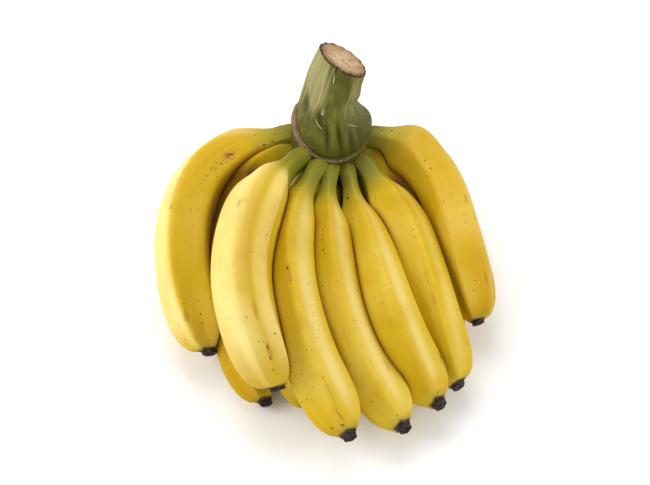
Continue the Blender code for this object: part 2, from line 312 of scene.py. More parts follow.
class PeelSettings(bpy.types.PropertyGroup):
    """Colours and finish of the peel."""

    golden: colour_setting("Golden", "Main colour of the ripe peel", (0.60, 0.395, 0.004))
    pale: colour_setting("Pale", "Colour of the paler patches of peel", (0.73, 0.56, 0.10))
    deep: colour_setting("Deep", "Colour of the deeper orange patches of peel", (0.49, 0.265, 0.003))
    green: colour_setting("Green", "Colour of the pedicels", (0.21, 0.195, 0.018))
    blossom: colour_setting("Blossom End", "Colour of the dried blossom end", (0.022, 0.014, 0.009))
    gloss: FloatProperty(
        name="Roughness", description="Roughness of the waxy peel", subtype="FACTOR",
        min=0.1, max=1.0, default=0.43)


class StalkSettings(bpy.types.PropertyGroup):
    """Colours of the crown and the stalk."""

    crown: colour_setting("Crown", "Green of the crown and the stalk", (0.122, 0.120, 0.013))
    rib: colour_setting("Ribs", "Pale colour of the stalk's ribs", (0.40, 0.37, 0.135))
    scar: colour_setting("Ring Scar", "Colour of the corky ring round the crown", (0.36, 0.24, 0.15))
    cut: colour_setting("Cut Face", "Colour of the stalk's cut end", (0.66, 0.47, 0.25))


class StageSettings(bpy.types.PropertyGroup):
    """Where the camera stands and its lens."""

    distance: FloatProperty(
        name="Camera Distance", description="From the camera to the middle of the hand",
        unit="LENGTH", min=0.5, max=5.0, default=1.2)
    elevation: FloatProperty(
        name="Elevation", description="How steeply the camera looks down",
        subtype="ANGLE", min=0.1, max=1.5, default=math.radians(55.0))
    lens: FloatProperty(
        name="Lens", description="Focal length on a 36 mm sensor", unit="CAMERA",
        min=20.0, max=300.0, default=100.0)


def unit(vectors):
    return vectors / np.linalg.norm(vectors, axis=-1, keepdims=True)


def step_between(low, high, at):
    """A smooth step from 0 at low to 1 at high: 3 x^2 - 2 x^3."""
    share = np.clip((at - low) / (high - low), 0.0, 1.0)
    return share * share * (3.0 - 2.0 * share)


def spline(knots, values, at):
    """The natural cubic spline through values at knots, read at each number in at."""
    knots = np.asarray(knots, float)
    values = np.asarray(values, float)
    step = np.diff(knots)
    count = len(knots)
    system = np.eye(count)
    right = np.zeros(values.shape)
    slope = (np.diff(values, axis=0).T / step).T
    for row in range(1, count - 1):
        system[row, row - 1] = step[row - 1]
        system[row, row] = 2.0 * (step[row - 1] + step[row])
        system[row, row + 1] = step[row]
        right[row] = 6.0 * (slope[row] - slope[row - 1])
    bend = np.linalg.solve(system, right)
    at = np.asarray(at, float)
    span = np.clip(np.searchsorted(knots, at, side="right") - 1, 0, count - 2)
    ahead = ((at - knots[span]) / step[span]).reshape(at.shape + (1,) * (values.ndim - 1))
    back = 1.0 - ahead
    size = (step[span] ** 2 / 6.0).reshape(ahead.shape)
    curve = back * values[span] + ahead * values[span + 1]
    return curve + size * ((back ** 3 - back) * bend[span] + (ahead ** 3 - ahead) * bend[span + 1])


def centre_line(points, shares):
    """Points and unit tangents along the spline through points, at shares of its length."""
    points = np.asarray(points, float) * MM
    knots = np.concatenate(([0.0], np.cumsum(np.linalg.norm(np.diff(points, axis=0), axis=1))))
    fine = np.linspace(0.0, knots[-1], 400)
    path = spline(knots, points, fine)
    run = np.concatenate(([0.0], np.cumsum(np.linalg.norm(np.diff(path, axis=0), axis=1))))
    at = np.interp(np.asarray(shares) * run[-1], run, fine)
    small = knots[-1] * 1e-3
    ahead = spline(knots, points, np.minimum(at + small, knots[-1]))
    behind = spline(knots, points, np.maximum(at - small, 0.0))
    return spline(knots, points, at), unit(ahead - behind)


def degrees_from(angle, middle):
    """Degrees from middle to angle, the short way round."""
    return (np.degrees(angle) - middle + 180.0) % 360.0 - 180.0


def furrow_at(course, share, angle):
    """How deep in a furrow, from 0 to 1: a Gaussian across it, with smooth ends along it."""
    middle, half, start, stop = course
    along = step_between(start, start + 0.08, share) * (1.0 - step_between(stop - 0.12, stop, share))
    return along * np.exp(-(degrees_from(angle, middle) / half) ** 2)


class Banana:
    """One banana's surface, as a function of the share of its length and the angle round it."""

    def __init__(self, name):
        self.name = name
        self.points, self.radius, self.narrow, ridges, self.lead, self.stem = FINGERS[name]
        self.ridges = np.radians(ridges)
        gaps = np.diff(np.append(self.ridges, self.ridges[0] + TURN))
        self.faces = self.ridges + gaps / 2.0
        self.reach = np.cos(gaps / 2.0)
        self.furrows = FURROWS.get(name, [])
        self.seed = 10 * list(FINGERS).index(name)

    def frame_at(self, shares):
        """Centre line, across and out at each share. Out points away from the hollow side."""
        line, tangent = centre_line(self.points, shares)
        out = line - np.asarray(DOME_CENTRE)
        out = unit(out - (out * tangent).sum(axis=1)[:, None] * tangent)
        return line, tangent, np.cross(tangent, out), out

    def half_widths(self, shares):
        """Half-width across and half-depth out: the girth spline times width and depth."""
        sooner = shares + self.lead * LEAD_PEAK * shares * (1.0 - shares) ** 3
        wave = np.sin(TURN * (2.3 * shares + 0.13 * self.seed)) * np.sin(math.pi * shares) ** 2
        girth = spline(GIRTH_AT, GIRTH, np.minimum(sooner, GIRTH_AT[-1])) * self.radius * MM
        girth = girth * (1.0 + 0.010 * wave)
        body = step_between(*PEDICEL_ENDS, shares)
        end = step_between(0.72, 0.97, shares)
        girth = girth * (1.0 + (self.stem - 1.0) * (1.0 - step_between(0.14, 0.30, shares)))
        width = PEDICEL_WIDTH + (self.narrow - PEDICEL_WIDTH) * body
        depth = PEDICEL_DEPTH + (2.0 - self.narrow - PEDICEL_DEPTH) * body
        return girth * (width + (1.0 - width) * end), girth * (depth + (1.0 - depth) * end)

    def shape(self, share, angle):
        """Radius of the section over its mean, a rounded five-sided figure.

        The figure is (sum over faces of (cos(angle - face) / reach) ** power) ** (-1 / power),
        divided by its mean. The power is higher, and the ridges sharper, towards both ends.
        The faces are a little hollow there, and the furrows are Gaussian grooves.
        """
        ends = 1.0 - step_between(0.14, 0.42, share) * (1.0 - step_between(0.66, 0.94, share))
        power = SHARPNESS[0] + (SHARPNESS[1] - SHARPNESS[0]) * ends
        sweep = np.linspace(0.0, TURN, MEAN_ANGLES, endpoint=False)

        def figure(at, sharpness):
            facing = np.clip(np.cos(at[..., None] - self.faces), 1e-3, None) / self.reach
            return (facing ** sharpness[..., None]).sum(axis=-1) ** (-1.0 / sharpness)

        powers = np.linspace(*SHARPNESS, MEAN_POWERS)
        sweep, each = np.meshgrid(sweep, powers)
        mean = figure(sweep, each).mean(axis=1)
        round_out = figure(angle, power) / np.interp(power, powers, mean)
        amount = 0.45 + 0.55 * step_between(0.10, 0.26, share) + 0.35 * step_between(0.72, 0.90, share)
        result = 1.0 + amount * (round_out - 1.0)
        away = np.cos(angle[..., None] - self.faces)
        hollow = np.exp((away - 1.0) * 14.0).sum(axis=-1)
        result = result - (0.010 + 0.045 * ends * amount) * hollow
        for course, depth in self.furrows:
            result = result - depth * furrow_at(course, share, angle)
        return result

    def near_ridge(self, angle):
        """1 on a ridge, falling to nothing a few degrees from it."""
        away = np.cos(angle[..., None] - self.ridges)
        return np.exp((away - 1.0) * 130.0).max(axis=-1)

    def painted_highlight_side(self, share, angle):
        """1 along the middle of a side with a painted highlight, with soft edges, fading towards both
        ends.
        """
        result = np.zeros(angle.shape)
        for middle, half, strength, sharp, drift in PAINTED_HIGHLIGHT_SIDES.get(self.name, []):
            middle = middle + drift * (1.0 - step_between(0.14, 0.34, share))
            off = np.abs(degrees_from(angle, middle) / half)
            result = np.maximum(result, strength * np.exp(-off ** sharp))
        return result * step_between(0.08, 0.24, share) * (1.0 - step_between(0.86, 0.97, share))

    def in_furrow(self, share, angle):
        """1 in the middle of a furrow, 0 where there is none."""
        result = np.zeros(angle.shape)
        for course, _ in self.furrows:
            result = np.maximum(result, furrow_at(course, share, angle))
        return result

    def knob_shape(self, angle):
        """The blossom end's section: a six-sided figure of low relief, over its mean."""
        sides = self.faces[0] + np.arange(KNOB_SIDES) * TURN / KNOB_SIDES
        facing = np.clip(np.cos(angle[..., None] - sides), 1e-3, None)
        return (facing ** KNOB_POWER).sum(axis=-1) ** (-1.0 / KNOB_POWER) / KNOB_MEAN

    def grid(self):
        """Rings of the whole banana, root to pit, with each ring's place along the peel.

        A ring is the centre line plus shape x (cos(angle) x width across, sin(angle) x depth
        out). At the root it widens, flattens and runs into the crown, and at the blossom end
        it leans, because the height over the centre line moves it along the tangent.
        """
        body = np.concatenate((np.linspace(0.0, 0.90, 185), np.linspace(0.904, 0.988, 34)))
        shares = np.concatenate((body, KNOB_AT))
        angle = np.linspace(0.0, TURN, SIDES, endpoint=False) - 0.5 * math.pi
        line, tangent, across, out = self.frame_at(shares)
        width, depth = self.half_widths(np.minimum(shares, GIRTH_AT[-1]))
        share, around = np.meshgrid(shares, angle, indexing="ij")
        shape = self.shape(share, around)
        knob = np.arange(len(shares)) >= len(body)
        blend = step_between(0.978, 0.989, share)
        shape = shape + blend * (self.knob_shape(around) - shape)
        size = np.concatenate((np.ones(len(body)), np.array(KNOB) / GIRTH[-1]))
        width = np.where(knob, width * size, width)
        depth = np.where(knob, depth * size, depth)
        root = 1.0 - step_between(0.0, 0.10, shares)
        inward = np.array(CROWN_HEART) - line[0]
        drop, flatter = ROOTS.get(self.name, (0.0, 0.0))
        line = line + 0.40 * root[:, None] ** 2 * inward - drop * MM * root[:, None] * out
        sunk = 0.45 + 0.55 * step_between(-0.02, 0.045, shares)
        width = width * (1.0 + 0.40 * root) * sunk
        depth = depth * (1.0 - flatter * root) * sunk
        rings = line[:, None, :] \
            + (shape * np.cos(around) * width[:, None])[..., None] * across[:, None, :] \
            + (shape * np.sin(around) * depth[:, None])[..., None] * out[:, None, :]
        lift = ((rings - line[:, None, :]) * out[:, None, :]).sum(axis=-1)
        lean = KNOB_LEAN * step_between(0.968, 0.99, shares)
        rings = rings + (lean[:, None] * lift)[..., None] * tangent[:, None, :]
        place = np.concatenate((body, 0.9885 + 0.002 * np.arange(len(KNOB_AT))))
        return rings, place, angle

    def push_out(self, points):
        """Moves points inside this banana out along its radius, to just off its skin.

        Also returns how close each point comes to its skin, from 0 to 1, for the painted shade.
        """
        shares = np.linspace(0.02, 0.975, 300)
        line, tangent, across, out = self.frame_at(shares)
        width, depth = self.half_widths(shares)
        flat = points.reshape(-1, 3)
        result = flat.copy()
        near = np.linalg.norm(flat[:, None, :] - line[None, ::12, :], axis=2).min(axis=1)
        which = np.flatnonzero(near < SKIN_REACH)
        gaps = np.linalg.norm(flat[which][:, None, :] - line[None, :, :], axis=2)
        at = gaps.argmin(axis=1)
        away = flat[which] - line[at]
        off = (away * tangent[at]).sum(axis=1)
        away = away - off[:, None] * tangent[at]
        side = (away * across[at]).sum(axis=1) / width[at]
        high = (away * out[at]).sum(axis=1) / depth[at]
        angle = np.arctan2(high, side)
        there = np.hypot(side, high)
        wanted = self.shape(shares[at], angle) + PRESS_GAP / width[at]
        inside = (there < wanted) & (np.abs(off) < SECTION_REACH)
        scale = np.where(inside, wanted / np.maximum(there, 1e-6), 1.0)
        result[which] = flat[which] + away * (scale - 1.0)[:, None]
        crevice_shade_mask = np.zeros(len(flat))
        close = np.clip(1.0 - (there - wanted) * width[at] / SHADE_REACH, 0.0, 1.0) ** 1.5
        crevice_shade_mask[which] = close * np.exp(-(off / SHADE_FADE) ** 2)
        return result.reshape(points.shape), crevice_shade_mask.reshape(points.shape[:-1])


def surface_mesh(name, rings, place):
    """A mesh over rings, closed by a pole at each end, with the UV map (around, along).

    Its faces point outwards: they are turned round where the volume, which is the sum of
    the triple products of the faces' corners, comes out negative.
    """
    count, sides = rings.shape[:2]
    here = np.arange(sides)
    following = (here + 1) % sides
    base = np.arange(count - 1)[:, None] * sides
    above = base + sides
    quads = np.stack((base + here, above + here, above + following, base + following), axis=-1)
    left = np.broadcast_to(here / sides, quads.shape[:2])
    right = np.broadcast_to((here + 1) / sides, quads.shape[:2])
    low = np.broadcast_to(place[:-1, None], quads.shape[:2])
    high = np.broadcast_to(place[1:, None], quads.shape[:2])
    corners = [quads.ravel()]
    uv = [np.stack((left, low, left, high, right, high, right, low), axis=-1).reshape(-1, 2)]
    for ring, order in ((0, 1), (count - 1, -1)):
        pole = np.full(sides, count * sides + (ring > 0))
        first, second = (here, following)[::order]
        start, stop = (here / sides, (here + 1) / sides)[::order]
        flat = np.full(sides, place[ring])
        corners.append(np.stack((ring * sides + first, ring * sides + second, pole), axis=-1).ravel())
        half = (here + 0.5) / sides
        uv.append(np.stack((start, flat, stop, flat, half, flat), axis=-1).reshape(-1, 2))
    points = np.vstack((rings.reshape(-1, 3), rings[0].mean(axis=0), rings[-1].mean(axis=0)))
    corners = np.concatenate(corners)
    sizes = np.concatenate((np.full((count - 1) * sides, 4), np.full(2 * sides, 3)))
    mesh = bpy.data.meshes.new(name)
    mesh.vertices.add(len(points))
    mesh.vertices.foreach_set("co", points.astype(np.float32).ravel())
    mesh.loops.add(len(corners))
    mesh.loops.foreach_set("vertex_index", corners.astype(np.int32))
    mesh.polygons.add(len(sizes))
    mesh.polygons.foreach_set("loop_start", (np.cumsum(sizes) - sizes).astype(np.int32))
    mesh.update(calc_edges=True)
    mesh.validate()
    layer = mesh.uv_layers.new(name="peel")
    layer.uv.foreach_set("vector", np.concatenate(uv).astype(np.float32).ravel())
    centred = points - points.mean(axis=0)
    first, second, third, fourth = (centred[quads[..., corner]] for corner in range(4))
    halves = np.cross(second - first, third - first) + np.cross(third - first, fourth - first)
    if (halves * first).sum() < 0.0:
        mesh.flip_normals()
    mesh.shade_smooth()
    return mesh


def add_attribute(mesh, name, values):
    """Stores one number for each point of the rings, and the last one again for both poles."""
    values = np.append(values.ravel(), np.full(2, values[-1, -1]))
    attribute = mesh.attributes.new(name=name, type="FLOAT", domain="POINT")
    attribute.data.foreach_set("value", values.astype(np.float32))


def add_piece(name, mesh, material, nodes):
    piece = bpy.data.objects.new(name, mesh)
    bpy.context.scene.collection.objects.link(piece)
    piece.data.materials.append(material)
    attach(piece, "root")
    if nodes:
        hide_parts(*nodes)


class Shades:
    """Short calls for the nodes of one material."""

    def __init__(self, name):
        self.material = bpy.data.materials.new(name)
        self.material.use_nodes = True
        self.tree = self.material.node_tree
        self.shader = self.tree.nodes["Principled BSDF"]
        self.place = self.add("ShaderNodeTexCoord").outputs["Object"]

    def add(self, kind):
        return self.tree.nodes.new(kind)

    def give(self, socket, value):
        if isinstance(value, bpy.types.NodeSocket):
            self.tree.links.new(value, socket)
        elif isinstance(value, (tuple, list)) and socket.type == "RGBA":
            socket.default_value = (*value[:3], 1.0)
        else:
            socket.default_value = value

    def maths(self, operation, first, second=0.0, third=None):
        node = self.add("ShaderNodeMath")
        node.operation = operation
        self.give(node.inputs[0], first)
        self.give(node.inputs[1], second)
        if third is not None:
            self.give(node.inputs[2], third)
        return node.outputs[0]

    def times(self, first, second):
        return self.maths("MULTIPLY", first, second)

    def shift(self, base, pattern, amount):
        """The base plus amount times how far the pattern is from its middle."""
        return self.maths("MULTIPLY_ADD", self.maths("SUBTRACT", pattern, 0.5), amount, base)

    def noise(self, vector, scale, detail=3.0, roughness=0.55, distortion=0.0, offset=0.0):
        node = self.add("ShaderNodeTexNoise")
        node.noise_dimensions = "4D"
        self.give(node.inputs["Vector"], vector)
        node.inputs["W"].default_value = offset
        node.inputs["Scale"].default_value = scale
        node.inputs["Detail"].default_value = detail
        node.inputs["Roughness"].default_value = roughness
        node.inputs["Distortion"].default_value = distortion
        return node.outputs["Fac"]

    def spread(self, value, low, high, to_low=0.0, to_high=1.0):
        """A smooth step of the value from to_low at low to to_high at high."""
        node = self.add("ShaderNodeMapRange")
        node.interpolation_type = "SMOOTHSTEP"
        self.give(node.inputs["Value"], value)
        node.inputs["From Min"].default_value = low
        node.inputs["From Max"].default_value = high
        self.give(node.inputs["To Min"], to_low)
        self.give(node.inputs["To Max"], to_high)
        return node.outputs["Result"]

    def mix(self, factor, first, second):
        node = self.add("ShaderNodeMix")
        node.data_type = "RGBA"
        self.give(node.inputs["Factor"], factor)
        self.give(node.inputs[6], first)
        self.give(node.inputs[7], second)
        return node.outputs[2]

    def lay(self, colour, mask, strength, over):
        """The colour with another laid over it by the mask times a strength."""
        return self.mix(self.times(mask, strength), colour, over)

    def attribute(self, name):
        node = self.add("ShaderNodeAttribute")
        node.attribute_name = name
        return node.outputs["Fac"]

    def uv(self):
        node = self.add("ShaderNodeUVMap")
        node.uv_map = "peel"
        return node.outputs["UV"]

    def parts(self, vector):
        node = self.add("ShaderNodeSeparateXYZ")
        self.give(node.inputs[0], vector)
        return node.outputs

    def wrapped(self, uv, cells_round, cells_long):
        """The peel's map as a cylinder, so that a pattern closes on itself round the peel."""
        around, along = self.parts(uv)[:2]
        turn = self.times(around, TURN)
        radius = cells_round / TURN
        node = self.add("ShaderNodeCombineXYZ")
        self.give(node.inputs[0], self.times(self.maths("COSINE", turn), radius))
        self.give(node.inputs[1], self.times(self.maths("SINE", turn), radius))
        self.give(node.inputs[2], self.times(along, cells_long))
        return node.outputs[0]

    def oval(self, centre, first, second):
        """The squared distance from a point of the surface in units of an oval's two half-axes."""
        away = self.add("ShaderNodeVectorMath")
        away.operation = "SUBTRACT"
        self.give(away.inputs[0], self.place)
        away.inputs[1].default_value = tuple(centre)
        total = 0.0
        for axis in (first, second):
            dot = self.add("ShaderNodeVectorMath")
            dot.operation = "DOT_PRODUCT"
            self.give(dot.inputs[0], away.outputs[0])
            dot.inputs[1].default_value = axis
            value = dot.outputs["Value"]
            total = self.maths("MULTIPLY_ADD", value, value, total)
        return total

    def cells(self, vector, scale):
        """Distance to the nearest cell's middle, and that cell's own random number."""
        node = self.add("ShaderNodeTexVoronoi")
        self.give(node.inputs["Vector"], vector)
        node.inputs["Scale"].default_value = scale
        node.inputs["Randomness"].default_value = 1.0
        return node.outputs["Distance"], self.parts(node.outputs["Color"])[0]

    def bump(self, height, distance, strength):
        node = self.add("ShaderNodeBump")
        self.give(node.inputs["Height"], height)
        node.inputs["Distance"].default_value = distance
        node.inputs["Strength"].default_value = strength
        return node.outputs["Normal"]


def placed_marks(shades, marks, rings, place, angle):
    """The least squared oval distance to the marks, pushed up where they are faint."""
    nearest = None
    for share, degrees, length, width, strength in marks:
        row = int(np.abs(place - share).argmin())
        column = int(np.abs(degrees_from(angle, degrees)).argmin())
        along = unit(rings[row + 1, column] - rings[row - 1, column])
        across = unit(rings[row, (column + 1) % len(angle)] - rings[row, column - 1])
        axes = (tuple(along / (length * MM)), tuple(across / (width * MM)))
        oval = shades.oval(rings[row, column], *axes)
        oval = shades.maths("ADD", oval, 1.0 - strength)
        nearest = oval if nearest is None else shades.maths("MINIMUM", nearest, oval)
    return nearest


def peel_material(banana, settings, rings, place_along, angle):
    """Ripe peel: green pedicel, golden body, dark blossom end, specks, scuffs and streaks."""
    shades = Shades(banana.name + "_peel")
    noise, spread, times, shift = shades.noise, shades.spread, shades.times, shades.shift
    mix, lay, maths = shades.mix, shades.lay, shades.maths
    place = shades.place
    uv = shades.uv()
    along = shades.parts(uv)[1]
    seed = banana.seed
    inner = "inner" in banana.name
    big = noise(place, 20.0, 3.0, 0.5, 0.4, seed)
    middle = noise(place, 85.0, 4.0, 0.55, 0.2, seed + 1)
    fine = noise(place, 900.0, 3.0, 0.6, 0.0, seed + 2)
    streaks = noise(shades.wrapped(uv, 46.0, 3.2), 1.0, 5.0, 0.6, 0.3, seed + 3)
    start = shift(shift(along, big, 0.10), streaks, 0.06)
    finish = shift(along, middle, 0.016)

    # Patches and streaks of ripeness, with painted shade on some whole bananas and painted
    # highlights on the sides that face the lights
    painted_shade_tint = np.array(PAINTED_SHADE.get(banana.name, (1.0, 1.0, 1.0)))
    golden = tuple(painted_shade_tint * settings.golden)
    pale = tuple(painted_shade_tint * settings.pale)
    deep = tuple(painted_shade_tint * settings.deep)
    green = tuple(painted_shade_tint * settings.green)
    colour = lay(golden, spread(big, 0.40, 0.76), 0.50, pale)
    colour = lay(colour, spread(big, 0.48, 0.28), 0.50, deep)
    colour = lay(colour, spread(streaks, 0.48, 0.74), 0.22, pale)
    colour = lay(colour, spread(streaks, 0.44, 0.26), 0.30, deep)
    colour = lay(colour, spread(middle, 0.50, 0.70), 0.18, deep)
    # Painted highlights: cream on the sides of the peel that face the lights
    painted_highlight_mask = times(shades.attribute("pale"), spread(big, 0.25, 0.60, 0.55, 1.0))
    colour = lay(colour, painted_highlight_mask, 0.75, PAINTED_HIGHLIGHT_CREAM)
    worn = spread(noise(place, 140.0, 4.0, 0.6, 0.0, seed + 6), 0.50, 0.66)
    colour = lay(colour, times(shades.attribute("ridge"), worn), 0.30, RUBBED)
    colour = lay(colour, shades.attribute("crease"), 0.32, CREASE)

    # The green pedicel, the olive end, painted shade in crevices and painted shadow on the back row
    end = GREEN_ENDS.get(banana.name, 0.16)
    colour = mix(spread(start, end + 0.07, 0.55 * end), colour, LIME)
    colour = mix(spread(start, 0.95 * end, 0.35 * end), colour, green)
    colour = mix(spread(finish, 0.955, 0.985, 0.0, 0.65), colour, OLIVE)
    # Painted shade where a neighbour's skin lies close
    crevice_shade_mask = times(shades.attribute("crevice_shade"), spread(along, 0.97, 0.94))
    crevice_shade_mask = times(crevice_shade_mask, spread(along, 0.10, 0.18))
    colour = lay(colour, crevice_shade_mask, 0.75, PAINTED_CREVICE_SHADE)
    # Painted shadow on the back row, where the front row hides the light
    if inner:
        under = times(spread(along, 0.17, 0.27), spread(along, 0.60, 0.40))
        colour = lay(colour, under, 0.86, PAINTED_BACK_ROW_SHADOW)

    # Small dots, larger ragged specks, dashes along the peel, and the placed marks
    distance, lottery = shades.cells(place, 300.0)
    dots = times(spread(distance, 0.18, 0.10), spread(lottery, 0.74, 0.75))
    dots = times(dots, spread(big, 0.46, 0.56))
    distance, lottery = shades.cells(place, 115.0)
    ragged = shift(distance, fine, 0.10)
    larger = times(spread(ragged, 0.085, 0.05), spread(lottery, 0.91, 0.92))
    distance, lottery = shades.cells(shades.wrapped(uv, 30.0, 16.0), 1.0)
    dashes = times(spread(distance, 0.11, 0.06), spread(lottery, 0.80, 0.81))
    specks = maths("MAXIMUM", larger, times(dashes, 0.6))
    specks = maths("MAXIMUM", times(dots, 0.85), specks)
    marks = {}
    for kind in ("spot", "stipple", "smudge"):
        own = [mark[1:] for mark in MARKS.get(banana.name, []) if mark[0] == kind]
        marks[kind] = placed_marks(shades, own, rings, place_along, angle)
    if marks["spot"] is not None:
        spots = shift(marks["spot"], fine, 2.0)
        specks = maths("MAXIMUM", specks, spread(spots, 1.3, 0.5))
    if marks["stipple"] is not None:
        grains = noise(place, 640.0, 3.0, 0.6, 0.0, seed + 7)
        stipple = spread(marks["stipple"], 1.2, 0.2)
        stipple = times(stipple, spread(grains, 0.53, 0.63))
        specks = maths("MAXIMUM", specks, times(stipple, 0.75))
    if marks["smudge"] is not None:
        smudges = spread(shift(marks["smudge"], fine, 1.6), 1.4, 0.3)
        colour = lay(colour, smudges, 0.55, BRUISE)
    scuff = spread(noise(place, 55.0, 6.0, 0.65, 0.8, seed + 5), 0.67, 0.74)
    scuff = times(scuff, spread(fine, 0.42, 0.58))
    colour = lay(colour, scuff, 0.40, SCUFF)
    specks = times(specks, spread(along, 0.985, 0.975))
    colour = lay(colour, specks, 0.88, SPECK)

    # The dried blossom end
    colour = mix(spread(finish, 0.979, 0.986), colour, DRY_RIM)
    flecks = noise(place, 650.0, 4.0, 0.65, 0.0, seed + 8)
    dark = mix(spread(flecks, 0.50, 0.68), tuple(settings.blossom), CRUST)
    colour = mix(spread(finish, 0.9845, 0.9880), colour, dark)

    rough = spread(middle, 0.3, 0.7, settings.gloss - 0.05, settings.gloss + 0.07)
    rough = maths("ADD", rough, times(spread(along, 0.975, 0.986), 0.35))
    rough = maths("MULTIPLY_ADD", specks, 0.2, rough)
    shades.give(shades.shader.inputs["Base Color"], colour)
    shades.give(shades.shader.inputs["Roughness"], rough)
    shades.shader.inputs["Specular IOR Level"].default_value = 0.10 if inner else 0.22
    shades.shader.inputs["Subsurface Weight"].default_value = 0.06
    shades.shader.inputs["Subsurface Radius"].default_value = (0.006, 0.003, 0.0006)
    shades.shader.inputs["Subsurface Scale"].default_value = 1.0
    height = maths("MULTIPLY_ADD", streaks, 0.40, times(middle, 0.9))
    height = maths("MULTIPLY_ADD", fine, 0.10, height)
    height = maths("MULTIPLY_ADD", specks, -0.3, height)
    crust = times(spread(along, 0.980, 0.988), flecks)
    height = maths("MULTIPLY_ADD", crust, 2.5, height)
    shades.give(shades.shader.inputs["Normal"], shades.bump(height, 0.0006, 0.7))
    return shades.material


def add_banana(name, settings):
    """Builds one banana, gives way to the neighbours that push into it, and dresses it."""
    banana = Banana(name)
    rings, place, angle = banana.grid()
    crevice_shade = np.zeros(rings.shape[:2])
    for neighbour in FINGERS:
        if neighbour == name:
            continue
        moved, close = Banana(neighbour).push_out(rings)
        if neighbour in PRESSED_BY.get(name, ()):
            rings = moved
        crevice_shade = np.maximum(crevice_shade, close)
    rings[..., 2] = np.maximum(rings[..., 2], 0.0)
    mesh = surface_mesh(name + "_peel", rings, place)
    share, around = np.meshgrid(place, angle, indexing="ij")
    # Painted shade in the crevices, where a neighbour's skin lies close
    add_attribute(mesh, "crevice_shade", crevice_shade)
    add_attribute(mesh, "ridge", banana.near_ridge(around))
    add_attribute(mesh, "crease", banana.in_furrow(share, around))
    # The pale attribute holds the painted highlights on the sides that face the lights
    add_attribute(mesh, "pale", banana.painted_highlight_side(share, around))
    material = peel_material(banana, settings, rings, place, angle)
    add_piece(name + "_peel", mesh, material, [name])


def stalk_frame(shares):
    """Axis points, tangent, right, front and radius of the stalk at each share of its length."""
    line, tangent = centre_line(STALK_AXIS, shares)
    upright = np.array([0.0, 0.0, 1.0])
    tangent = unit(upright + step_between(*FOOT_ENDS, shares)[:, None] * (tangent - upright))
    right = np.array([1.0, 0.0, 0.0])
    right = unit(right - (tangent @ right)[:, None] * tangent)
    front = np.cross(right, tangent)
    return line, tangent, right, front, spline(STALK_AT, STALK_RADIUS, shares) * MM


# The ring scar, against the angle round the crown from the right over the back: its
# middle as a share of the stalk's length, and its half-width in millimetres
RING_ANGLES = [0, 45, 90, 135, 170, 197, 214, 235, 254, 277, 301, 320, 343, 360]
RING_SHARES = [
    0.555, 0.60, 0.64, 0.665, 0.665, 0.64, 0.587, 0.531, 0.495, 0.484, 0.494, 0.51, 0.54, 0.555]
RING_WIDTHS = [0.7, 1.2, 2.0, 3.0, 3.8, 4.2, 3.6, 2.1, 1.1, 0.65, 0.5, 0.5, 0.6, 0.7]

# Ribs down the stalk: the angle in degrees at four shares, the height in millimetres and
# the half-width in degrees
RIB_SHARES = [0.69, 0.76, 0.85, 0.975]
RIBS = [
    ((233, 246, 247, 242), 1.2, 3.0), ((229, 239, 241, 236), 0.7, 2.4), ((226, 233, 235, 230), 1.0, 2.8),
    ((221, 227, 228, 222), 0.7, 2.5), ((213, 217, 216, 210), 0.7, 4.0), ((206, 206, 202, 194), 0.5, 4.0),
    ((240, 252, 256, 254), 0.6, 3.0), ((298, 304, 309, 307), 0.8, 3.0),
    ((309, 313, 316, 316), 0.5, 3.0), ((318, 320, 323, 324), 0.8, 4.0), ((336, 338, 338, 339), 0.6, 4.5),
    ((353, 354, 354, 354), 0.8, 5.0), ((12, 10, 10, 9), 0.7, 5.0), ((31, 30, 28, 27), 1.0, 5.5),
    ((50, 50, 50, 49), 0.8, 5.0), ((73, 74, 75, 76), 1.1, 5.5), ((96, 97, 98, 98), 0.8, 5.0),
    ((120, 120, 121, 121), 1.0, 5.5), ((147, 146, 145, 144), 0.9, 5.0), ((168, 167, 166, 165), 0.9, 5.0),
    ((190, 189, 187, 182), 0.8, 5.0),
]

# Dents and folds of the crown: angle, share, depth in millimetres, half-width in degrees
# and half-height as a share
DENTS = [
    (212, 0.745, 2.0, 7, 0.035), (222, 0.720, 1.8, 7, 0.030), (233, 0.695, 1.2, 6, 0.025),
    (250, 0.715, 1.0, 6, 0.035), (254, 0.680, 1.6, 6, 0.035), (259, 0.650, 1.5, 6, 0.040),
    (267, 0.610, 2.2, 4, 0.080), (284, 0.610, 2.4, 4, 0.080), (276, 0.590, -0.9, 4, 0.070),
    (292, 0.590, -0.7, 4, 0.050), (300, 0.580, 1.7, 4.5, 0.055), (314, 0.600, 1.4, 5, 0.045),
    (307, 0.60, -0.5, 4, 0.04), (259, 0.970, 1.3, 3, 0.045), (30, 0.70, 1.4, 8, 0.04),
    (75, 0.72, 1.6, 7, 0.04), (130, 0.73, 1.5, 8, 0.04), (20, 0.60, 0.9, 5, 0.05),
    (60, 0.62, 1.0, 5, 0.05), (105, 0.64, 0.9, 5, 0.05), (165, 0.72, 1.0, 6, 0.03),
]


def ring_scar(share, around):
    """Millimetres above the middle of the ring scar, and the scar's half-width, at each point."""
    turns = np.concatenate([np.array(RING_ANGLES[:-1]) + 360 * turn for turn in (-1, 0, 1)])
    degrees = np.degrees(around) % 360.0
    middle = spline(turns, RING_SHARES[:-1] * 3, degrees)
    half = spline(turns, RING_WIDTHS[:-1] * 3, degrees)
    return (share - middle) * STALK_LENGTH, half


def scar_shown(around):
    """1 where the ring scar shows, falling to a faint line on the right of the crown."""
    return 1.0 - 0.80 * np.exp(-(degrees_from(around, 352.0) / 58.0) ** 4)


